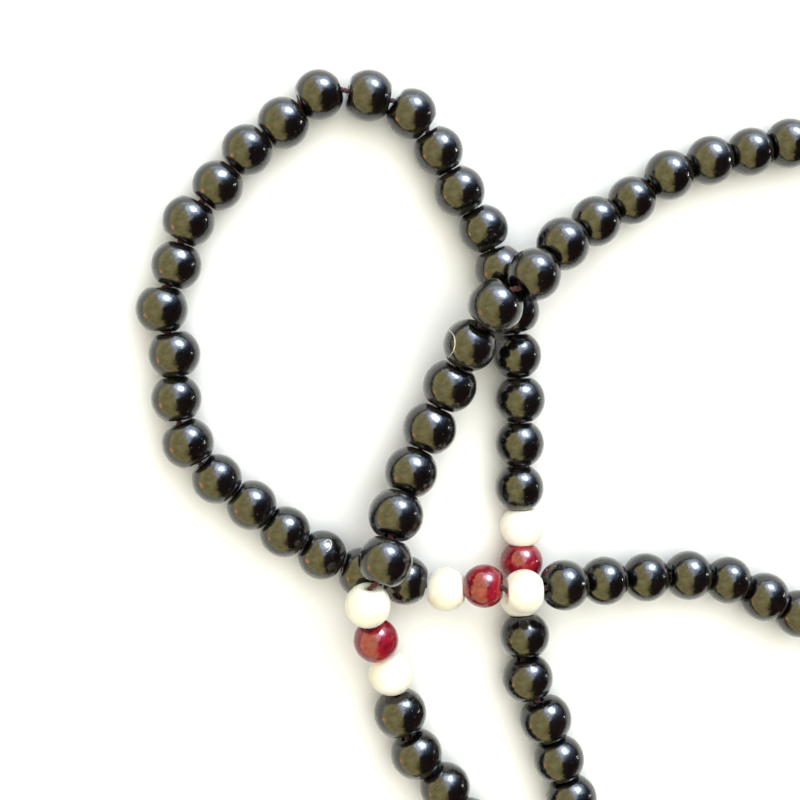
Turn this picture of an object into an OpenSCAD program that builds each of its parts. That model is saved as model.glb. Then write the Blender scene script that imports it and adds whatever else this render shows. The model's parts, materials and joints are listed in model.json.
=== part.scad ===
// Mala: a closed ring of 108 black beads with four marker groups of
// cream, red and cream beads, strung on one cord and laid on a flat surface.

/* [Black beads] */
// Diameter of a black bead across the bore
bead_d = 8.0; // [7.7:0.1:8.1]
// Length of a black bead along the bore
bead_len = 6.6; // [6.3:0.1:6.7]
// How much the turned beads differ in size, as a share of the diameter
bead_spread = 0.02; // [0:0.005:0.02]

/* [Marker beads] */
// Diameter of a cream or red marker bead
marker_d = 7.0; // [6.7:0.1:7.1]
// Length of a marker bead along the bore
marker_len = 5.6; // [5.3:0.1:5.7]

/* [Cord] */
// Diameter of the bore through every bead
bore_d = 1.9; // [1.7:0.1:2.1]
// Diameter of the stringing cord
cord_d = 0.9; // [0.8:0.1:1.0]
// Outer diameter of the closing knot
knot_d = 2.6; // [2.4:0.1:2.8]

/* [Hidden] */
LOOP = [for (i = [1:27]) str("loop_bead_", i < 10 ? "0" : "", i)];
CROSS = [for (i = [1:12]) str("cross_bead_", i < 10 ? "0" : "", i)];

N = 120;                 // beads on the ring
gap_min = 0.07;          // least clearance between neighbours
gap_max = 0.5;           // most clearance between neighbours
// marker groups: first bead of each trio, in the order a, b, c, d
marks = [27, 57, 87, 117];

function is_marker(i) = let(j = i % 30) j >= 27;
function is_red(i) = i % 30 == 28;
// slight differences between turned beads, by a fixed rule
function vary(i, k) = sin(i * k) * bead_spread;
// a few runs of the string are strung with beads from a slightly larger batch
function batch(i) = i >= 60 && i <= 68 ? 1.07 : 1;
// and a few others are turned a little wider
function wide(i) = (i >= 31 && i <= 35) || (i >= 53 && i <= 56) ? 1.05 : 1;
// the beads of marker group b are a little longer than the other markers, and
// so are three black beads next to marker group d
function stretch(i) = i >= 57 && i <= 59 ? 1.1 : i >= 114 && i <= 116 ? 1.08 : 1;
function rad(i) = is_marker(i) ? marker_d / 2 * (stretch(i) > 1 ? 1.03 : 1) * (1 + vary(i, 97) / 2)
                               : bead_d / 2 * batch(i) * wide(i) * (1 + vary(i, 137.5));
function len(i) = is_marker(i) ? marker_len * stretch(i) * (1 + vary(i, 71) / 2)
                               : bead_len * batch(i) * stretch(i) * (1 + vary(i, 83) / 2);
// distance from the bore's axis to the centre of the arc that the side is turned to
function off(i) = is_marker(i) ? 0.05 : 0.1;
// radius of the flat at each end, where a bead meets its neighbour
function flat(i) = rad(i) * (is_marker(i) ? 0.56 : 0.44);

// Route of the string: bead number, x, y, and how far the bead is lifted
// clear of the surface. Chosen by hand; the string crosses itself three times.
route = [
    [0, 1.5, -29, 0.4], [1, -6, -27.5, 0], [2, -12.5, -24.5, 0], [4, -24, -16, 0],
    [6, -33, -6.5, 0], [7, -35, 0.5, 0], [8, -35.5, 7.5, 0], [9, -37, 14, 0], [10, -35, 21, 0],
    [11, -33, 28, 0],
    [12, -28.5, 33.5, 0], [13, -24, 39, 0], [14, -18, 43.5, 0], [15, -12.5, 47.5, 0], [16, -5, 47.5, 0], [17, 1.5, 45, 0],
    [19, 9.5, 33, 0], [20, 13.5, 27, 0], [21, 16, 21, 0], [22, 18.5, 14, 0],
    [23, 19, 7, 0], [24, 19.5, 0, 0],
    [26, 19.5, -14.5, 0], [27, 20, -21, 0], [28, 20, -26.5, 0], [29, 20, -32.5, 0],
    [30, 20.5, -38.5, 0], [31, 21, -45.5, 0], [32, 24, -52.5, 0], [34, 28.5, -66, 0],
    [36, 33.5, -79, 0], [38, 37.5, -93, 0], [40, 36.5, -107.5, 0],
    [42, 27.5, -118.5, 0], [44, 14, -121, 0], [46, 4, -114.5, 0], [48, 2.5, -101, 0],
    [50, 11.5, -90, 0], [52, 14.5, -77, 0], [54, 7, -62.5, 0], [55, 2.5, -57, 0],
    [56, 0, -50.5, 0.2], [57, -1.5, -44, 1.5], [58, -4.5, -37.5, 4.2], [59, -6, -31, 7.4],
    [60, -3.5, -24.5, 7.4], [61, -1.5, -18, 4.6], [62, 1.5, -11, 2.3],
    [63, 4.5, -4.5, 1.2], [64, 7.5, 2, 1.8], [65, 10.5, 9, 4.2], [66, 14, 15, 7.2],
    [67, 19.5, 19.5, 7.3], [68, 25, 24.5, 4], [69, 31.5, 28.5, 1.6],
    [70, 38, 32, 0.3], [71, 44, 36, 0], [73, 58, 40, 0], [75, 71, 42.5, 0],
    [77, 85, 44, 0], [80, 107, 43, 0], [82, 120.5, 44.5, 0],
    [84, 135, 43.5, 0], [86, 148.5, 38, 0], [88, 158.5, 31, 0], [90, 165, 20.5, 0],
    [92, 169, 6.5, 0], [94, 168, -8, 0], [96, 162, -21.5, 0], [98, 152.5, -32.5, 0],
    [100, 140, -39.5, 0], [102, 126, -42, 0], [104, 111.5, -40.5, 0],
    [107, 90.5, -42, 0], [109, 76, -40, 0], [110, 67.5, -36.5, 0],
    [111, 61.5, -33.5, 0], [112, 55, -30.5, 0], [114, 41, -29.5, 0.6],
    [115, 33, -29.5, 2.6], [116, 25.5, -29.5, 5], [117, 18.5, -30, 6.9],
    [118, 12.5, -29.5, 5], [119, 7, -30, 2.4]
];
S = len_of(route);
function len_of(v) = search(1, [for (x = v) 1]) == [] ? 0 : [for (x = v) 1] * [for (x = v) 1];

// station k of the closed route, carried on past either end
function st(k) = let(m = ((k % S) + S) % S, lap = (k - m) / S)
    [route[m][0] + N * lap, route[m][1], route[m][2], route[m][3]];
function xyz(s) = [s[1], s[2], s[3]];
function slope(a, b) = (xyz(b) - xyz(a)) / (b[0] - a[0]);
function tangent_at(k) = let(a = st(k - 1), b = st(k), c = st(k + 1),
    h0 = b[0] - a[0], h1 = c[0] - b[0])
    (slope(a, b) * h1 + slope(b, c) * h0) / (h0 + h1);
function seg(i) = max([for (k = [0:S - 1]) if (route[k][0] <= i) k]);
function along(i) = let(k = seg(i), a = st(k), b = st(k + 1), h = b[0] - a[0],
    t = (i - a[0]) / h, ta = tangent_at(k) * h, tb = tangent_at(k + 1) * h)
    xyz(a) * (2 * t * t * t - 3 * t * t + 1) + ta * (t * t * t - 2 * t * t + t)
    + xyz(b) * (3 * t * t - 2 * t * t * t) + tb * (t * t * t - t * t);

// links where the hidden bows of the string fold sideways
folds = [31, 36, 50, 55, 75, 80, 103, 108];
function unit(v) = v / norm(v);
function nx(i) = (i + 1) % N;
function pv(i) = (i + N - 1) % N;
// the string shows bare between two beads of the loop, and the knot takes room
function extra(i) = i == 15 ? 0.5 : i == 109 ? 2.1 : search(i, folds) == [] ? 0 : 0.34;
function axes(P) = [for (i = [0:N - 1]) unit(P[nx(i)] - P[pv(i)])];
// how far a bead reaches along the unit direction u of a link, with its end flat tilted to it
function takes(i, a, u) = let(c = min(1, abs(a * u))) c * len(i) / 2 + sqrt(1 - c * c) * flat(i);
// signed error of the link from bead i to the next: + too long, - too short
function link_error(P, A, i) = let(j = nx(i), d = norm(P[j] - P[i]), u = (P[j] - P[i]) / d,
    lo = takes(i, A[i], u) + takes(j, A[j], u) + gap_min + extra(i), hi = lo - gap_min + gap_max)
    d < lo ? d - lo : d > hi ? d - hi : 0;
function flat_unit(v) = let(f = [v[0], v[1], 0]) f / norm(f);
function relaxed(P, n) = n == 0 ? P : let(A = axes(P),
    E = [for (i = [0:N - 1]) link_error(P, A, i)],
    U = [for (i = [0:N - 1]) flat_unit(P[nx(i)] - P[i])])
    relaxed([for (i = [0:N - 1]) P[i] + (U[i] * E[i] - U[pv(i)] * E[pv(i)]) * 0.45], n - 1);

start = [for (i = [0:N - 1]) let(p = along(i)) [p[0], p[1], max(0, p[2]) + rad(i)]];
laid = relaxed(start, 120);
dir = axes(laid);
// half size of a bead along one direction
function reach(i, u) = let(c = min(1, abs(dir[i] * u)), w = sqrt(1 - c * c), r = rad(i) - off(i))
    c * r > len(i) / 2 ? c * len(i) / 2 + w * (off(i) + sqrt(r * r - len(i) * len(i) / 4))
                       : off(i) * w + r;
x1 = max([for (i = [0:N - 1]) laid[i][0] + reach(i, [1, 0, 0])]);
x0 = min([for (i = [0:N - 1]) laid[i][0] - reach(i, [1, 0, 0])]);
y1 = max([for (i = [0:N - 1]) laid[i][1] + reach(i, [0, 1, 0])]);
y0 = min([for (i = [0:N - 1]) laid[i][1] - reach(i, [0, 1, 0])]);
z0 = min([for (i = [0:N - 1]) laid[i][2] - reach(i, [0, 0, 1])]);
middle = [(x0 + x1) / 2, (y0 + y1) / 2, z0];
pos = [for (p = laid) p - middle];

// middle of the gap between bead i and the next
function end_of(i, s) = pos[i] + dir[i] * (s * len(i) / 2);
joint = [for (i = [0:N - 1]) (end_of(i, 1) + end_of(nx(i), -1)) / 2];

module along_axis(p, a) {
    translate(p) rotate([0, acos(a[2]), atan2(a[1], a[0])]) children();
}

// one turned bead: a round side, an eased edge, a flat at each end and a straight bore
module bead(i) {
    h = len(i) / 2;
    f = flat(i);
    w = 2 * rad(i);
    ease = 0.35;
    along_axis(pos[i], dir[i]) difference() {
        rotate_extrude($fn = 64) intersection() {
            translate([off(i), 0]) circle(r = rad(i) - off(i), $fn = 64);
            polygon([[0, -h], [f, -h], [w, -h + (w - f) * ease], [w, h - (w - f) * ease], [f, h], [0, h]]);
        }
        cylinder(h = 2 * len(i), d = bore_d, center = true, $fn = 32);
    }
}
module black(list) { color("#141414") for (i = list) bead(i); }
module cream(i) { color("#f2ead6") bead(i); }
module red(i) { color("#8e1626") bead(i); }

sides = 8;
module cord() {
    // one ring where the cord enters each bead and one where it leaves, square to
    // the bore and moved inside it toward the neighbouring bore
    room = (bore_d - cord_d) / 2 * 0.7;
    M = 2 * N;
    rings = [for (i = [0:N - 1]) for (e = [-1, 1]) let(
        q = end_of(i, e), d = joint[e > 0 ? i : pv(i)] - q,
        side = d - dir[i] * (d * dir[i]), far = norm(side),
        p = q + (far > room ? side * (room / far) : side),
        s = unit(cross(dir[i], [0, 0, 1])), w = cross(s, dir[i]))
        [for (k = [0:sides - 1]) p + (s * cos(360 * k / sides) + w * sin(360 * k / sides)) * cord_d / 2]];
    color("#a83446") polyhedron(
        points = [for (r = rings) for (p = r) p],
        faces = [for (i = [0:M - 1]) for (k = [0:sides - 1]) for (h = [0, 1])
            let(j = (i + 1) % M, a = i * sides + k, b = i * sides + (k + 1) % sides,
                c = j * sides + (k + 1) % sides, d = j * sides + k)
            h == 0 ? [a, b, c] : [a, c, d]]);
}
// two tight wraps of the cord's own ends
module knot() {
    wrap = (knot_d - cord_d) / 2;
    color("#a83446") along_axis(joint[109], unit(pos[110] - pos[109]))
        for (s = [-1, 1]) translate([0, 0, s * wrap * 0.42])
            rotate_extrude($fn = 48) translate([cord_d / 2 + wrap / 2 - 0.1, 0])
                circle(d = wrap, $fn = 32);
}

cord();
knot();
for (i = [0:26]) black([i]);
for (i = [0:11]) black([60 + i]);
cream(27);  // marker_a_cream_in
red(28);  // marker_a_red
cream(29);  // marker_a_cream_out
cream(57);  // marker_b_cream_in
red(58);  // marker_b_red
cream(59);  // marker_b_cream_out
cream(87);  // marker_c_cream_in
red(88);  // marker_c_red
cream(89);  // marker_c_cream_out
cream(117);  // marker_d_cream_in
red(118);  // marker_d_red
cream(119);  // marker_d_cream_out
black([30, 31, 56, 72, 73, 74, 75, 109, 110, 111, 112, 113, 114, 115, 116]);  // side_strand_beads
black([32:36]);  // lower_leg_right_beads
black([51:55]);  // lower_leg_left_beads
black([37:50]);  // lower_bow_beads
black([76:80]);  // far_leg_upper_beads
black([104:108]);  // far_leg_lower_beads
black([81, 82, 83, 84, 85, 86, for (i = [90:103]) i]);  // far_bow_beads
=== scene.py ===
import bpy
import json
import math
import numpy as np
from mathutils import Vector, Matrix

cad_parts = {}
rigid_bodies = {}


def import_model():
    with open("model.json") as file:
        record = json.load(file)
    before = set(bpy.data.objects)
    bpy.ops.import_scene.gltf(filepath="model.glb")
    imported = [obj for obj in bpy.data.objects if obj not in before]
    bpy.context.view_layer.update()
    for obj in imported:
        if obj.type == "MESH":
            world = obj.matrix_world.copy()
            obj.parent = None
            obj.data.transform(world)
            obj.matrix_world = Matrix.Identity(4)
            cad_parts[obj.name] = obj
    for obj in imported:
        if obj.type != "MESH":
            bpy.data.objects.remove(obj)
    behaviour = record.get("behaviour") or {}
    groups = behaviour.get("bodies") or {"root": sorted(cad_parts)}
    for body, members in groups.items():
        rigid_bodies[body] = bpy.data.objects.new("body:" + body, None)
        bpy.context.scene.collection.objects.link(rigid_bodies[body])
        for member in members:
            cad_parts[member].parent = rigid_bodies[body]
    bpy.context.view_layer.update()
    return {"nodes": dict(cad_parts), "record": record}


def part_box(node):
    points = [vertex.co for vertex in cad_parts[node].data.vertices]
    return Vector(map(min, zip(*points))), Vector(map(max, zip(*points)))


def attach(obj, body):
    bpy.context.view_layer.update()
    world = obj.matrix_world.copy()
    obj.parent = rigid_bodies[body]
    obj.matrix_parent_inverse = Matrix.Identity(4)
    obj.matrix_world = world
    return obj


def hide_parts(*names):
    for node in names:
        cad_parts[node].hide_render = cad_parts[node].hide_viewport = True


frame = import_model()
record = frame["record"]
behaviour = record["behaviour"]
node_body = {n: b for b, ns in behaviour["bodies"].items() for n in ns}
MM = 0.001

# ---------------------------------------------------------------- reading the frame
BORE_R = 0.95 * MM
CORD_R = 0.45 * MM


def unit(v):
    return v / np.linalg.norm(v)


def solids_of(obj):
    """The separate solids of a node: one array of corner points of triangles for each."""
    me = obj.data
    co = np.zeros(len(me.vertices) * 3)
    me.vertices.foreach_get("co", co)
    co = co.reshape(-1, 3)
    me.calc_loop_triangles()
    tri = np.zeros(len(me.loop_triangles) * 3, np.int64)
    me.loop_triangles.foreach_get("vertices", tri)
    tri = tri.reshape(-1, 3)
    # weld by place, because the shading split shares no vertices
    key = np.round(co * 1e6).astype(np.int64)
    _, weld = np.unique(key, axis=0, return_inverse=True)
    weld = weld.reshape(-1)
    t = weld[tri]
    label = np.arange(weld.max() + 1)
    while True:
        low = label[t].min(1)
        new = label.copy()
        for k in range(3):
            np.minimum.at(new, t[:, k], low)
        new = new[new]
        if (new == label).all():
            break
        label = new
    part = label[t[:, 0]]
    return [co[tri[part == p]] for p in np.unique(part)]


def middle(corners):
    """A solid's centre, weighed by its surface."""
    a, b, c = corners[:, 0], corners[:, 1], corners[:, 2]
    area = np.linalg.norm(np.cross(b - a, c - a), axis=1)
    return ((a + b + c) / 3 * area[:, None]).sum(0) / area.sum()


def measured(corners, centre, axis):
    """A bead's widest radius and half its length between the end flats."""
    p = corners.reshape(-1, 3) - centre
    along = p @ axis
    radial = np.linalg.norm(p - np.outer(along, axis), axis=1)
    return radial.max(), np.abs(along).max()


spin = {j["child"]: j for j in behaviour["joints"] if j.get("continuous")}
beads = []
for node, obj in sorted(frame["nodes"].items()):
    if node in ("cord", "knot"):
        continue
    kind = "red" if node.endswith("_red") else "cream" if "cream" in node else "black"
    for corners in solids_of(obj):
        if node in spin:
            c = np.array(spin[node]["pos_m"])
        else:
            c = middle(corners)
        beads.append({"node": node, "c": c, "kind": kind, "corners": corners})

# the string's order, node by node, and in a node with several beads always the next one along
ORDER = (
    ["loop_bead_%02d" % k for k in range(1, 28)]
    + ["marker_a_cream_in", "marker_a_red", "marker_a_cream_out"]
    + ["side_strand_beads"] * 2
    + ["lower_leg_right_beads"] * 5
    + ["lower_bow_beads"] * 14
    + ["lower_leg_left_beads"] * 5
    + ["side_strand_beads"]
    + ["marker_b_cream_in", "marker_b_red", "marker_b_cream_out"]
    + ["cross_bead_%02d" % k for k in range(1, 13)]
    + ["side_strand_beads"] * 4
    + ["far_leg_upper_beads"] * 5
    + ["far_bow_beads"] * 6
    + ["marker_c_cream_in", "marker_c_red", "marker_c_cream_out"]
    + ["far_bow_beads"] * 14
    + ["far_leg_lower_beads"] * 5
    + ["side_strand_beads"] * 8
    + ["marker_d_cream_in", "marker_d_red", "marker_d_cream_out"]
)
chain = []
for node in ORDER:
    left = [b for b in beads if b["node"] == node and not any(b is c for c in chain)]
    here = chain[-1]["c"] if chain else left[0]["c"]
    chain.append(min(left, key=lambda b: np.linalg.norm(b["c"] - here)))
N = len(chain)
for i, b in enumerate(chain):
    # a bead's bore points along the line between its two neighbours
    b["a"] = unit(chain[(i + 1) % N]["c"] - chain[i - 1]["c"])
    b["R"], b["h"] = measured(b["corners"], b["c"], b["a"])
steps = [np.linalg.norm(chain[(i + 1) % N]["c"] - chain[i]["c"]) for i in range(N)]
assert N == 120 and max(steps) < 9.6 * MM, ("the string's order", N, max(steps))
for i, b in enumerate(chain):
    b["i"] = i


# the beads in the frame stand a little apart for clearance; where a link never folds, each end face comes
# up to 0.19 mm closer to its neighbour, as beads pushed together on a cord do
FOLDS = (31, 36, 50, 55, 75, 80, 103, 108, 109)
ease_out = []
for i, b in enumerate(chain):
    n = chain[(i + 1) % N]
    bend = math.acos(max(-1.0, min(1.0, float(b["a"] @ n["a"]))))
    face = 0.60 if "marker" in b["node"] + n["node"] else 0.50
    free = steps[i] - b["h"] - n["h"] - face * (b["R"] + n["R"]) * math.sin(bend / 2)
    ease_out.append(0.0 if i in FOLDS else max(0.0, min(0.19 * MM, (free - 0.10 * MM) / 2)))
for i, b in enumerate(chain):
    b["ends"] = (b["h"] + ease_out[i], b["h"] + ease_out[i - 1])


# ---------------------------------------------------------------- materials
def new_material(name):
    m = bpy.data.materials.new(name)
    m.use_nodes = True
    nt = m.node_tree
    for n in list(nt.nodes):
        nt.nodes.remove(n)
    out = nt.nodes.new("ShaderNodeOutputMaterial")
    bsdf = nt.nodes.new("ShaderNodeBsdfPrincipled")
    nt.links.new(bsdf.outputs["BSDF"], out.inputs["Surface"])
    return m, nt, bsdf


def noise(nt, coord, scale, detail=3.0, rough=0.55, distortion=0.0):
    n = nt.nodes.new("ShaderNodeTexNoise")
    n.inputs["Scale"].default_value = scale
    n.inputs["Detail"].default_value = detail
    n.inputs["Roughness"].default_value = rough
    n.inputs["Distortion"].default_value = distortion
    nt.links.new(coord, n.inputs["Vector"])
    return n.outputs["Fac"]


def ramp(nt, fac, stops):
    r = nt.nodes.new("ShaderNodeValToRGB")
    e = r.color_ramp.elements
    while len(e) > 1:
        e.remove(e[-1])
    e[0].position, e[0].color = stops[0][0], (*stops[0][1], 1)
    for p, c in stops[1:]:
        k = e.new(p)
        k.color = (*c, 1)
    nt.links.new(fac, r.inputs["Fac"])
    return r.outputs["Color"]


def remap(nt, fac, a, b, c, d):
    m = nt.nodes.new("ShaderNodeMapRange")
    m.inputs["From Min"].default_value = a
    m.inputs["From Max"].default_value = b
    m.inputs["To Min"].default_value = c
    m.inputs["To Max"].default_value = d
    nt.links.new(fac, m.inputs["Value"])
    return m.outputs["Result"]


def mix(nt, fac, a, b):
    m = nt.nodes.new("ShaderNodeMix")
    m.data_type = "RGBA"
    fac_in = [s for s in m.inputs if s.name == "Factor" and s.type == "VALUE"][0]
    a_in = [s for s in m.inputs if s.name == "A" and s.type == "RGBA"][0]
    b_in = [s for s in m.inputs if s.name == "B" and s.type == "RGBA"][0]
    nt.links.new(fac, fac_in)
    for s, v in ((a_in, a), (b_in, b)):
        if isinstance(v, tuple):
            s.default_value = (*v, 1)
        else:
            nt.links.new(v, s)
    return [s for s in m.outputs if s.type == "RGBA"][0]


def math_node(nt, op, a, b=None, clamp=False):
    m = nt.nodes.new("ShaderNodeMath")
    m.operation = op
    m.use_clamp = clamp
    for s, v in zip(m.inputs, (a, b)):
        if v is None:
            continue
        if isinstance(v, (int, float)):
            s.default_value = v
        else:
            nt.links.new(v, s)
    return m.outputs[0]


def bump(nt, height, strength, distance, normal=None):
    b = nt.nodes.new("ShaderNodeBump")
    b.inputs["Strength"].default_value = strength
    b.inputs["Distance"].default_value = distance
    nt.links.new(height, b.inputs["Height"])
    if normal is not None:
        nt.links.new(normal, b.inputs["Normal"])
    return b.outputs["Normal"]


def object_coord(nt):
    return nt.nodes.new("ShaderNodeTexCoord").outputs["Object"]


def dust(nt, coord, scale, size, keep):
    """Sparse round specks: 1 inside a speck, 0 outside."""
    v = nt.nodes.new("ShaderNodeTexVoronoi")
    v.inputs["Scale"].default_value = scale
    v.inputs["Randomness"].default_value = 1.0
    nt.links.new(coord, v.inputs["Vector"])
    near = math_node(nt, "LESS_THAN", v.outputs["Distance"], size)
    split = nt.nodes.new("ShaderNodeSeparateColor")
    nt.links.new(v.outputs["Color"], split.inputs["Color"])
    chosen = math_node(nt, "LESS_THAN", split.outputs[0], keep)
    return math_node(nt, "MULTIPLY", near, chosen)


def black_material():
    m, nt, b = new_material("black_lacquer")
    co = object_coord(nt)
    grain = noise(nt, co, 520.0, 4.0, 0.6, 0.6)
    base = ramp(nt, grain, [(0.30, (0.0012, 0.0011, 0.0012)), (0.62, (0.0026, 0.0022, 0.0021)), (0.80, (0.006, 0.0035, 0.003))])
    specks = dust(nt, co, 2600.0, 0.17, 0.04)
    nt.links.new(mix(nt, specks, base, (0.09, 0.088, 0.082)), b.inputs["Base Color"])
    # a soft lobe under the lacquer spreads the lights, and a thin coat mirrors the room
    haze = remap(nt, noise(nt, co, 190.0, 3.0, 0.6), 0.32, 0.68, 0.16, 0.32)
    fine = remap(nt, noise(nt, co, 2400.0, 3.0, 0.7), 0.42, 0.72, 0.0, 0.12)
    nt.links.new(math_node(nt, "ADD", haze, fine, clamp=True), b.inputs["Roughness"])
    b.inputs["IOR"].default_value = 1.22
    b.inputs["Coat Weight"].default_value = 1.0
    nt.links.new(remap(nt, noise(nt, co, 330.0, 4.0, 0.65), 0.35, 0.66, 0.03, 0.11), b.inputs["Coat Roughness"])
    b.inputs["Coat IOR"].default_value = 1.5
    n = bump(nt, noise(nt, co, 300.0, 3.0, 0.55), 0.40, 0.00030)
    n = bump(nt, noise(nt, co, 1500.0, 4.0, 0.65), 0.62, 0.00005, n)
    n = bump(nt, specks, 0.5, 0.00002, n)
    nt.links.new(n, b.inputs["Normal"])
    nt.links.new(n, b.inputs["Coat Normal"])
    return m


def red_material():
    m, nt, b = new_material("red_lacquer")
    co = object_coord(nt)
    streak = noise(nt, co, 430.0, 5.0, 0.65, 1.4)
    base = ramp(nt, streak, [(0.28, (0.085, 0.002, 0.008)), (0.50, (0.235, 0.006, 0.018)), (0.72, (0.36, 0.018, 0.022))])
    specks = dust(nt, co, 2400.0, 0.15, 0.03)
    nt.links.new(mix(nt, specks, base, (0.45, 0.22, 0.18)), b.inputs["Base Color"])
    rough = remap(nt, noise(nt, co, 900.0, 3.0, 0.6), 0.35, 0.7, 0.06, 0.16)
    nt.links.new(rough, b.inputs["Roughness"])
    b.inputs["IOR"].default_value = 1.5
    b.inputs["Coat Weight"].default_value = 0.12
    b.inputs["Coat Roughness"].default_value = 0.04
    n = bump(nt, noise(nt, co, 360.0, 2.0, 0.5), 0.30, 0.0002)
    n = bump(nt, noise(nt, co, 1500.0, 3.0, 0.6), 0.15, 0.00003, n)
    nt.links.new(n, b.inputs["Normal"])
    return m


def cream_material():
    m, nt, b = new_material("cream_bead")
    co = object_coord(nt)
    cloud = noise(nt, co, 260.0, 3.0, 0.55, 0.4)
    base = ramp(nt, cloud, [(0.30, (0.90, 0.82, 0.65)), (0.50, (0.955, 0.905, 0.785)), (0.75, (0.98, 0.95, 0.87))])
    specks = dust(nt, co, 1500.0, 0.12, 0.05)
    nt.links.new(mix(nt, specks, base, (0.55, 0.43, 0.26)), b.inputs["Base Color"])
    rough = remap(nt, noise(nt, co, 700.0, 3.0, 0.6), 0.35, 0.7, 0.26, 0.42)
    nt.links.new(rough, b.inputs["Roughness"])
    b.inputs["IOR"].default_value = 1.5
    b.inputs["Subsurface Weight"].default_value = 0.35
    b.inputs["Subsurface Radius"].default_value = (1.0, 0.75, 0.4)
    b.inputs["Subsurface Scale"].default_value = 0.0012
    n = bump(nt, noise(nt, co, 420.0, 3.0, 0.5), 0.25, 0.00012)
    nt.links.new(n, b.inputs["Normal"])
    return m


def cord_material():
    m, nt, b = new_material("cord_thread")
    co = object_coord(nt)
    fibre = noise(nt, co, 5200.0, 4.0, 0.7, 0.8)
    base = ramp(nt, fibre, [(0.30, (0.016, 0.003, 0.005)), (0.55, (0.070, 0.012, 0.020)), (0.80, (0.20, 0.065, 0.085))])
    nt.links.new(base, b.inputs["Base Color"])
    nt.links.new(remap(nt, fibre, 0.3, 0.7, 0.72, 0.92), b.inputs["Roughness"])
    b.inputs["Sheen Weight"].default_value = 0.35
    b.inputs["Sheen Roughness"].default_value = 0.4
    nt.links.new(bump(nt, fibre, 0.6, 0.00004), b.inputs["Normal"])
    return m


MATS = {"black": black_material(), "red": red_material(), "cream": cream_material(), "cord": cord_material()}


# ---------------------------------------------------------------- beads
def pseudo(i, k):
    """A fixed number from 0 to 1 for bead i."""
    x = math.sin(i * 12.9898 + k * 78.233) * 43758.5453
    return x - math.floor(x)


def frame_of(a):
    s = unit(np.cross(a, [0.0, 0.0, 1.0]))
    return s, np.cross(s, a)


SIDES = 72


def half_outline(R, h, kind):
    """Half section of a turned bead's one end as (distance from the bore's axis, height), middle to mouth."""
    off = 0.1 * MM if kind == "black" else 0.05 * MM
    flat = R * (0.44 if kind == "black" else 0.56)
    rho = R - off
    # the eased edge: an arc that runs from the end flat into the round side
    ease = max(0.2 * MM, (rho**2 - h**2 - (flat - off) ** 2) / (2 * (rho - h)))
    rc = off + math.sqrt(max(0.0, (rho - ease) ** 2 - (h - ease) ** 2))
    meet = math.atan2(h - ease, rc - off)
    side = [(off + rho * math.cos(t), rho * math.sin(t)) for t in np.linspace(0, meet, 14)]
    edge = [(rc + ease * math.cos(t), h - ease + ease * math.sin(t)) for t in np.linspace(meet, math.pi / 2, 8)[1:]]
    rim = 0.14 * MM
    x0 = BORE_R + rim
    face = [(x, h) for x in np.linspace(rc, x0, 5)[1:]]
    mouth = [(x0 - rim * math.sin(t), h - rim + rim * math.cos(t)) for t in np.linspace(0, math.pi / 2, 6)[1:]]
    return side + edge + face + mouth, x0


def outline(R, h_up, h_down, kind):
    """The whole section, from the lower mouth over the round side to the upper mouth and back through the bore."""
    upper, x0 = half_outline(R, h_up, kind)
    under, x0 = half_outline(R, h_down, kind)
    lower = [(x, -z) for x, z in reversed(under)][:-1]
    wall = [(BORE_R, z) for z in np.linspace(upper[-1][1], lower[0][1], 7)[1:-1]]
    return np.array(lower + upper + wall), x0


def bead_mesh(b):
    """One turned bead: straight bore, rounded mouths, flat ends, eased edges. Points and quads in the row frame."""
    i, R = b["i"], b["R"]
    prof, x0 = outline(R, *b["ends"], b["kind"])
    n = len(prof)
    ang = np.arange(SIDES) * 2 * math.pi / SIDES
    s, w = frame_of(b["a"])
    # hand-turned unevenness: slightly oval, a faint lean of the bulge, two broad flats
    amp = 0.006 if b["kind"] == "black" else 0.008
    p1, p2, p3 = (2 * math.pi * pseudo(i, k) for k in (1, 2, 3))
    oval = 1 - amp * 0.5 * (1 + np.cos(2 * ang + p1)) - amp * 0.5 * (1 + np.cos(3 * ang + p2)) * pseudo(i, 4)
    r = np.outer(np.ones(n), oval)
    inside = prof[:, 0] <= x0 + 1e-9
    r[inside] = 1.0
    fade = np.clip((prof[:, 0] - x0) / (R - x0), 0, 1)
    r = 1 + (r - 1) * (fade[:, None] ** 0.5)
    rad = prof[:, :1] * r
    z = prof[:, 1:] * np.ones((1, SIDES))
    z = z * (1 - 0.004 * (1 + np.cos(ang + p3))[None] * fade[:, None])
    P = b["c"] + rad[..., None] * (np.cos(ang)[None, :, None] * s + np.sin(ang)[None, :, None] * w) + z[..., None] * b["a"]
    V = P.reshape(-1, 3)
    k = np.arange(n)
    j = np.arange(SIDES)
    K, Jj = np.meshgrid(k, j, indexing="ij")
    a_ = K * SIDES + Jj
    b_ = K * SIDES + (Jj + 1) % SIDES
    c_ = ((K + 1) % n) * SIDES + (Jj + 1) % SIDES
    d_ = ((K + 1) % n) * SIDES + Jj
    F = np.stack([a_, b_, c_, d_], -1).reshape(-1, 4)
    return V, F


def make_object(name, V, F, material, smooth=True):
    me = bpy.data.meshes.new(name)
    V = np.asarray(V, float)
    F = np.asarray(F, np.int64)
    me.vertices.add(len(V))
    me.vertices.foreach_set("co", V.reshape(-1))
    me.loops.add(F.size)
    me.loops.foreach_set("vertex_index", F.reshape(-1))
    me.polygons.add(len(F))
    me.polygons.foreach_set("loop_start", np.arange(len(F)) * F.shape[1])
    me.polygons.foreach_set("use_smooth", np.full(len(F), smooth))
    me.update()
    me.validate()
    me.materials.append(material)
    o = bpy.data.objects.new(name, me)
    bpy.context.scene.collection.objects.link(o)
    return o


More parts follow.
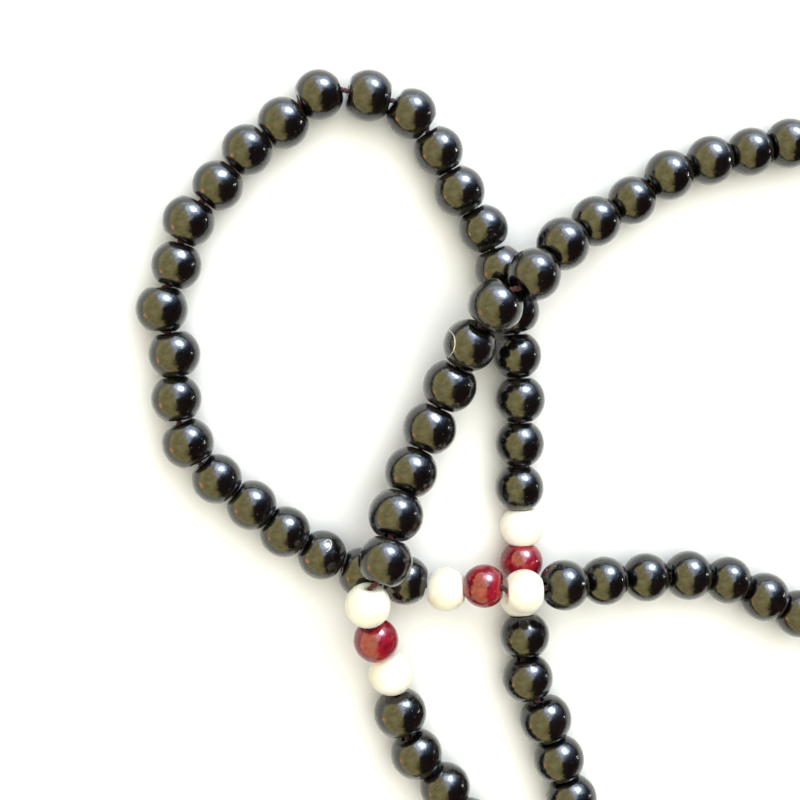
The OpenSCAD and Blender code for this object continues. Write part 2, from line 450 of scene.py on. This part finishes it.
def outward(V, F):
    """Faces turned so that the closed mesh's volume is positive."""
    a, b, c, d = (V[F[:, k]] for k in range(4))
    vol = (np.einsum("ij,ij->i", a, np.cross(b, c)) + np.einsum("ij,ij->i", a, np.cross(c, d))).sum()
    return F if vol > 0 else F[:, ::-1]


groups = {}
for b in chain:
    groups.setdefault(b["node"], []).append(b)
for node, members in groups.items():
    Vs, Fs, at = [], [], 0
    for b in members:
        V, F = bead_mesh(b)
        F = outward(V - b["c"], F)
        Vs.append(V)
        Fs.append(F + at)
        at += len(V)
    kind = members[0]["kind"]
    name = node + "_turned"
    o = make_object(name, np.vstack(Vs), np.vstack(Fs), MATS[kind])
    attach(o, node_body[node])
    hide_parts(node)


# ---------------------------------------------------------------- pale marks on two beads: a thread, and painted highlights
def strand_on(b, marks, radius, name, material):
    """A thin round strand that lies on a bead. marks are places on the bead seen from above, in bead radii."""
    up_ = unit(np.array([-0.102, 0.053, 0.239]) - b["c"])
    right_ = unit(np.array([1.0, 0.0, 0.0]) - up_ * up_[0])
    ahead = np.cross(up_, right_)
    pts = []
    for x, y in marks:
        d = unit(x * right_ + y * ahead + math.sqrt(max(0.004, 1 - x * x - y * y)) * up_)
        along = d @ b["a"]
        across = math.sqrt(max(0.0, 1 - along * along))
        off = 0.1 * MM
        r = off * across + math.sqrt((b["R"] - off) ** 2 - (off * along) ** 2)
        pts.append(b["c"] + d * (r + 0.3 * radius))
    P = [np.array(q) for q in pts]
    path = [P[0]]
    for k in range(len(P) - 1):
        p0, p1, p2, p3 = P[max(k - 1, 0)], P[k], P[k + 1], P[min(k + 2, len(P) - 1)]
        for t in np.arange(1, 9) / 8:
            path.append(0.5 * (2 * p1 + (p2 - p0) * t + (2 * p0 - 5 * p1 + 4 * p2 - p3) * t * t + (3 * p1 - p0 - 3 * p2 + p3) * t**3))
    path = np.array(path)
    T = np.gradient(path, axis=0)
    T /= np.linalg.norm(T, axis=1)[:, None]
    out_ = path - b["c"]
    out_ /= np.linalg.norm(out_, axis=1)[:, None]
    side = np.cross(T, out_)
    side /= np.linalg.norm(side, axis=1)[:, None]
    rise = np.cross(side, T)
    n, m = 8, len(path)
    thin = radius * np.sin(np.linspace(0.18, math.pi - 0.18, m)) ** 0.4
    ang = np.arange(n) * 2 * math.pi / n
    V = (path[:, None] + thin[:, None, None] * (np.cos(ang)[None, :, None] * side[:, None] + np.sin(ang)[None, :, None] * rise[:, None])).reshape(-1, 3)
    V = np.vstack([V, path[:1] - T[:1] * radius * 0.3, path[-1:] + T[-1:] * radius * 0.3])
    quads = [(i * n + k, i * n + (k + 1) % n, (i + 1) * n + (k + 1) % n, (i + 1) * n + k) for i in range(m - 1) for k in range(n)]
    tris = [(m * n, (k + 1) % n, k) for k in range(n)] + [((m - 1) * n + k, (m - 1) * n + (k + 1) % n, m * n + 1) for k in range(n)]
    o = make_mixed(name, V, quads, tris, material)
    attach(o, node_body[b["node"]])
    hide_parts(b["node"])


def pale_material():
    # a pale colour for a thread and for painted highlights on the black lacquer
    m, nt, b = new_material("pale_mark")
    co = object_coord(nt)
    nt.links.new(ramp(nt, noise(nt, co, 2000.0, 2.0, 0.5), [(0.35, (0.52, 0.49, 0.38)), (0.65, (0.74, 0.72, 0.62))]), b.inputs["Base Color"])
    b.inputs["Roughness"].default_value = 0.35
    return m


def make_marks():
    pale = pale_material()
    by_node = {b["node"]: b for b in chain}
    # a thin pale thread on the bead; its pale colour also paints in the bright reflected line along the bead's side
    strand_on(by_node["cross_bead_06"], [(-0.80, 0.58), (-0.705, 0.516), (-0.60, 0.383), (-0.55, 0.234), (-0.54, 0.086), (-0.555, -0.062), (-0.60, -0.196), (-0.69, -0.33), (-0.79, -0.44)], 0.085 * MM, "stray_fibre", pale)
    # a raised hook on the lacquer, coloured pale as a painted highlight: the pale strokes stand for the light a dent
    # catches
    strand_on(by_node["loop_bead_03"], [(0.086, 0.486), (0.18, 0.564), (0.265, 0.61)], 0.085 * MM, "nick_short", pale)
    strand_on(by_node["loop_bead_03"], [(0.28, 0.60), (0.366, 0.50), (0.358, 0.346), (0.288, 0.206), (0.163, 0.112)], 0.10 * MM, "nick_hook", pale)


# ---------------------------------------------------------------- cord
def cord_body(b):
    body = node_body[b["node"]]
    if body in spin:
        return spin[body]["parent"]
    return body


def ends(b):
    return b["c"] - b["a"] * b["h"], b["c"] + b["a"] * b["h"]


def smooth_path(points, step):
    """A Catmull-Rom line through the points, sampled about every step."""
    P = np.array(points)
    P = np.vstack([2 * P[0] - P[1], P, 2 * P[-1] - P[-2]])
    out = []
    for k in range(1, len(P) - 2):
        n = max(2, int(math.ceil(np.linalg.norm(P[k + 1] - P[k]) / step)))
        for t in np.arange(n) / n:
            p0, p1, p2, p3 = P[k - 1 : k + 3]
            out.append(0.5 * (2 * p1 + (p2 - p0) * t + (2 * p0 - 5 * p1 + 4 * p2 - p3) * t * t + (3 * p1 - p0 - 3 * p2 + p3) * t**3))
    out.append(P[-2])
    return np.array(out)


PLIES, PER_PLY, PITCH = 3, 5, 1.9 * MM


def cord_tube(path, start_len):
    """A three-ply twisted cord along the path, its ends closed by short domes."""
    d = np.linalg.norm(np.diff(path, axis=0), axis=1)
    s = np.concatenate([[0], np.cumsum(d)])
    T = np.gradient(path, axis=0)
    T /= np.linalg.norm(T, axis=1)[:, None]
    side = np.cross(T, [0.0, 0.0, 1.0])
    side /= np.linalg.norm(side, axis=1)[:, None]
    up = np.cross(side, T)
    n = PLIES * PER_PLY
    ang = np.arange(n) * 2 * math.pi / n
    lobe = CORD_R * (0.86 + 0.14 * np.cos(PLIES * ang))
    turn = (s + start_len) / PITCH * 2 * math.pi
    a = ang[None] + turn[:, None]
    ring = path[:, None] + lobe[None, :, None] * (np.cos(a)[..., None] * side[:, None] + np.sin(a)[..., None] * up[:, None])
    rings = [ring[i] for i in range(len(path))]
    # domed ends
    def cap(i, way):
        mid, t = path[i], T[i] * way
        out = []
        for q in (0.5, 0.8):
            out.append(mid + (ring[i] - mid) * math.cos(q * math.pi / 2) + t * CORD_R * 0.5 * math.sin(q * math.pi / 2))
        return out, mid + t * CORD_R * 0.5
    c0, tip0 = cap(0, -1)
    c1, tip1 = cap(len(path) - 1, 1)
    rings = c0[::-1] + rings + c1
    V = np.vstack(rings + [tip0[None], tip1[None]])
    m = len(rings)
    F = []
    for i in range(m - 1):
        for k in range(n):
            F.append((i * n + k, i * n + (k + 1) % n, (i + 1) * n + (k + 1) % n, (i + 1) * n + k))
    t0, t1 = m * n, m * n + 1
    tris = [(t0, (k + 1) % n, k) for k in range(n)] + [((m - 1) * n + k, (m - 1) * n + (k + 1) % n, t1) for k in range(n)]
    return V, F, tris, s[-1]


def make_mixed(name, V, quads, tris, material):
    me = bpy.data.meshes.new(name)
    me.from_pydata([tuple(v) for v in V], [], [tuple(f) for f in quads] + [tuple(f) for f in tris])
    me.update()
    import bmesh
    bm = bmesh.new()
    bm.from_mesh(me)
    bmesh.ops.recalc_face_normals(bm, faces=bm.faces)
    bm.to_mesh(me)
    bm.free()
    for p in me.polygons:
        p.use_smooth = True
    me.materials.append(material)
    o = bpy.data.objects.new(name, me)
    bpy.context.scene.collection.objects.link(o)
    return o


make_marks()

runs = []  # [body, [bead, ...]] in order along the string
for b in chain:
    body = cord_body(b)
    if runs and runs[-1][0] == body:
        runs[-1][1].append(b)
    else:
        runs.append([body, [b]])
if len(runs) > 1 and runs[0][0] == runs[-1][0]:
    runs[0][1] = runs[-1][1] + runs[0][1]
    runs.pop()
total, made = 0.0, {}
for body, members in runs:
    before = chain[(members[0]["i"] - 1) % N]
    after = chain[(members[-1]["i"] + 1) % N]
    pts = [(ends(before)[1] + ends(members[0])[0]) / 2]
    for b in members:
        # evenly spaced points keep the line straight inside the bore
        pts += [b["c"] + b["a"] * b["h"] * u for u in np.linspace(-0.94, 0.94, 9)]
    pts.append((ends(members[-1])[1] + ends(after)[0]) / 2)
    path = smooth_path(pts, 0.30 * MM)
    V, Q, T3, length = cord_tube(path, total)
    total += length
    made[body] = made.get(body, 0) + 1
    name = "cord_" + body + ("" if made[body] == 1 else "_%d" % made[body])
    o = make_mixed(name, V, Q, T3, MATS["cord"])
    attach(o, body)
    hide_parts("cord")
print("cord length mm", round(total / MM, 1), "runs", [(r[0], len(r[1])) for r in runs])


# ---------------------------------------------------------------- knot
def knot_object():
    """An overhand stopper: one strand that wraps the cord twice and tucks under itself."""
    lo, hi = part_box("knot")
    c = (np.array(lo) + np.array(hi)) / 2
    i = min(range(N), key=lambda k: np.linalg.norm((chain[k]["c"] + chain[(k + 1) % N]["c"]) / 2 - c))
    t = unit(chain[(i + 1) % N]["c"] - chain[i]["c"])
    s, w = frame_of(t)
    pts = []
    turns, r = 2.35, 0.80 * MM
    for k in range(90):
        u = k / 89
        a = u * turns * 2 * math.pi
        x = (u - 0.5) * 1.15 * MM + 0.16 * MM * math.sin(a)
        rr = r + 0.05 * MM * math.sin(2 * a)
        pts.append(c + t * x + rr * (s * math.cos(a) + w * math.sin(a)))
    V, Q, T3, _ = cord_tube(np.array(pts), 0.0)
    return make_mixed("knot_wraps", V, Q, T3, MATS["cord"])


k = knot_object()
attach(k, node_body["knot"])
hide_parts("knot")

# ---------------------------------------------------------------- stage
SC = bpy.context.scene
SC.view_settings.view_transform = "Standard"
SC.view_settings.look = "None"


def stage_floor():
    s = 3.0
    V = [(-s, -s, 0), (s, -s, 0), (s, s, 0), (-s, s, 0)]
    m, nt, b = new_material("pale_floor")
    co = object_coord(nt)
    tone = ramp(nt, noise(nt, co, 9.0, 2.0, 0.5), [(0.3, (0.795, 0.795, 0.795)), (0.7, (0.805, 0.805, 0.805))])
    nt.links.new(tone, b.inputs["Base Color"])
    b.inputs["Roughness"].default_value = 0.75
    b.inputs["Specular IOR Level"].default_value = 0.2
    o = make_object("floor", V, [[0, 1, 2, 3]], m, smooth=False)
    o.location = (0, 0, -0.00004)


stage_floor()


def stage_sweep():
    """A plain pale studio sweep round the table, seen only by the camera: it lights and shades nothing."""
    flat, bend, top = 1.15, 0.35, 2.6
    prof = [(flat + bend * math.sin(t), bend * (1 - math.cos(t)) - 0.0002) for t in np.linspace(0, math.pi / 2, 12)]
    prof += [(flat + bend, z) for z in np.linspace(bend, top, 6)[1:]]
    n, m = 96, len(prof)
    V = [(r * math.cos(k * 2 * math.pi / n), r * math.sin(k * 2 * math.pi / n), z) for r, z in prof for k in range(n)]
    F = [(i * n + k, i * n + (k + 1) % n, (i + 1) * n + (k + 1) % n, (i + 1) * n + k) for i in range(m - 1) for k in range(n)]
    mat, nt, b = new_material("pale_sweep")
    co = object_coord(nt)
    tone = ramp(nt, noise(nt, co, 1.5, 2.0, 0.5), [(0.3, (0.965, 0.965, 0.955)), (0.7, (0.985, 0.985, 0.98))])
    b.inputs["Base Color"].default_value = (0, 0, 0, 1)
    b.inputs["Specular IOR Level"].default_value = 0.0
    nt.links.new(tone, b.inputs["Emission Color"])
    b.inputs["Emission Strength"].default_value = 1.0
    o = make_object("sweep", V, F, mat)
    o.visible_diffuse = o.visible_glossy = o.visible_transmission = o.visible_shadow = False


stage_sweep()


def area(name, direction, distance, size, colour, radiance, glossy=True, at=(-0.06, 0.02, 0.0), diffuse=True, shape="RECTANGLE"):
    """A rectangular light in that direction from the object, facing it. radiance is what its face shows."""
    d = Vector(direction).normalized()
    li = bpy.data.lights.new(name, "AREA")
    li.shape = shape
    li.size, li.size_y = size
    li.color = colour
    li.energy = radiance * size[0] * size[1] * math.pi
    o = bpy.data.objects.new(name, li)
    o.location = Vector(at) + d * distance
    o.rotation_euler = (-d).to_track_quat("-Z", "Y").to_euler()
    o.visible_glossy = glossy
    o.visible_diffuse = diffuse
    SC.collection.objects.link(o)
    return o


def toward(az, el):
    a, e = math.radians(az), math.radians(el)
    return (math.cos(e) * math.cos(a), math.cos(e) * math.sin(a), math.sin(e))


area("window", toward(68, 33), 1.6, (0.78, 0.72), (0.80, 0.90, 1.0), 21.0, diffuse=False, shape="ELLIPSE")
area("window_glow", toward(72, 34), 1.7, (1.75, 1.25), (0.62, 0.77, 1.0), 4.2, diffuse=False, shape="ELLIPSE")
area("lamp_right", toward(5, 9), 1.5, (0.07, 0.045), (1.0, 0.98, 0.95), 110.0, diffuse=False)
area("red_card", toward(199, 6), 1.6, (0.34, 0.26), (1.0, 0.15, 0.05), 6.0, diffuse=False)
# broad soft lights that fill the table, and aren't mirrored in the beads
area("fill", toward(70, 80), 1.8, (3.2, 3.2), (1.0, 0.975, 0.855), 3.0, glossy=False)
area("fill_window", toward(66, 40), 1.8, (1.8, 1.5), (0.52, 0.72, 1.0), 2.0, glossy=False)


def room():
    """The room that the beads mirror, by compass direction: olive to the left, pale round the window, dark right."""
    w = bpy.data.worlds.new("room")
    SC.world = w
    w.use_nodes = True
    nt = w.node_tree
    for n in list(nt.nodes):
        nt.nodes.remove(n)
    out = nt.nodes.new("ShaderNodeOutputWorld")
    bg = nt.nodes.new("ShaderNodeBackground")
    nt.links.new(bg.outputs["Background"], out.inputs["Surface"])
    d = nt.nodes.new("ShaderNodeTexCoord").outputs["Generated"]
    sep = nt.nodes.new("ShaderNodeSeparateXYZ")
    nt.links.new(d, sep.inputs["Vector"])
    x = math_node(nt, "SUBTRACT", sep.outputs["X"], 0.05)
    y = math_node(nt, "SUBTRACT", sep.outputs["Y"], 0.04)
    compass = math_node(nt, "ARCTAN2", y, x)
    turn = math_node(nt, "ADD", math_node(nt, "DIVIDE", compass, 2 * math.pi), 0.5)
    ragged = remap(nt, noise(nt, d, 4.5, 5.0, 0.62, 0.4), 0.3, 0.7, -0.035, 0.035)
    turn = math_node(nt, "ADD", turn, ragged, clamp=True)

    def at(az):
        return az / 360.0 + 0.5

    olive, olive2, night = (3.3, 2.9, 1.32), (3.1, 2.7, 1.18), (0.05, 0.038, 0.042)
    walls = ramp(nt, turn, [
        (0.0, olive), (at(-128), olive2), (at(-92), (2.5, 2.1, 0.88)), (at(-80), night),
        (at(-40), (0.12, 0.035, 0.038)), (at(0), night), (at(22), (0.08, 0.10, 0.15)), (at(42), (1.0, 1.35, 2.0)),
        (at(60), (3.2, 3.9, 5.0)), (at(92), (4.6, 5.2, 6.0)), (at(108), (3.9, 4.1, 4.2)), (at(122), olive), (1.0, olive),
    ])
    mottle = remap(nt, noise(nt, d, 3.4, 6.0, 0.74, 0.9), 0.36, 0.60, 0.42, 1.16)
    lit = nt.nodes.new("ShaderNodeVectorMath")
    lit.operation = "SCALE"
    nt.links.new(walls, lit.inputs[0])
    nt.links.new(mottle, lit.inputs["Scale"])
    nt.links.new(lit.outputs["Vector"], bg.inputs["Color"])
    bg.inputs["Strength"].default_value = 1.0
    # the mirrored room lights nothing by itself
    w.cycles_visibility.diffuse = False


room()

# ---------------------------------------------------------------- camera
LEAN, LEAN_WAY = math.radians(9.53), math.radians(-156.3)
down = Vector((math.sin(LEAN) * math.cos(LEAN_WAY), math.sin(LEAN) * math.sin(LEAN_WAY), math.cos(LEAN)))
Zc = -down
Xc = (Vector((1, 0, 0)) - down * down.x).normalized()
Yc = Zc.cross(Xc)
right = Vector((Xc[0], Yc[0], Zc[0]))
up = -Vector((Xc[1], Yc[1], Zc[1]))
back = -Vector((Xc[2], Yc[2], Zc[2]))
cam_data = bpy.data.cameras.new("camera")
cam_data.lens = 67.5
cam_data.sensor_width = 36.0
cam_data.clip_start = 0.01
cam_data.clip_end = 20
cam = bpy.data.objects.new("camera", cam_data)
cam.matrix_world = Matrix(((right.x, up.x, back.x, -0.10197), (right.y, up.y, back.y, 0.05323), (right.z, up.z, back.z, 0.239), (0, 0, 0, 1)))
SC.collection.objects.link(cam)
SC.camera = cam

bpy.context.view_layer.update()
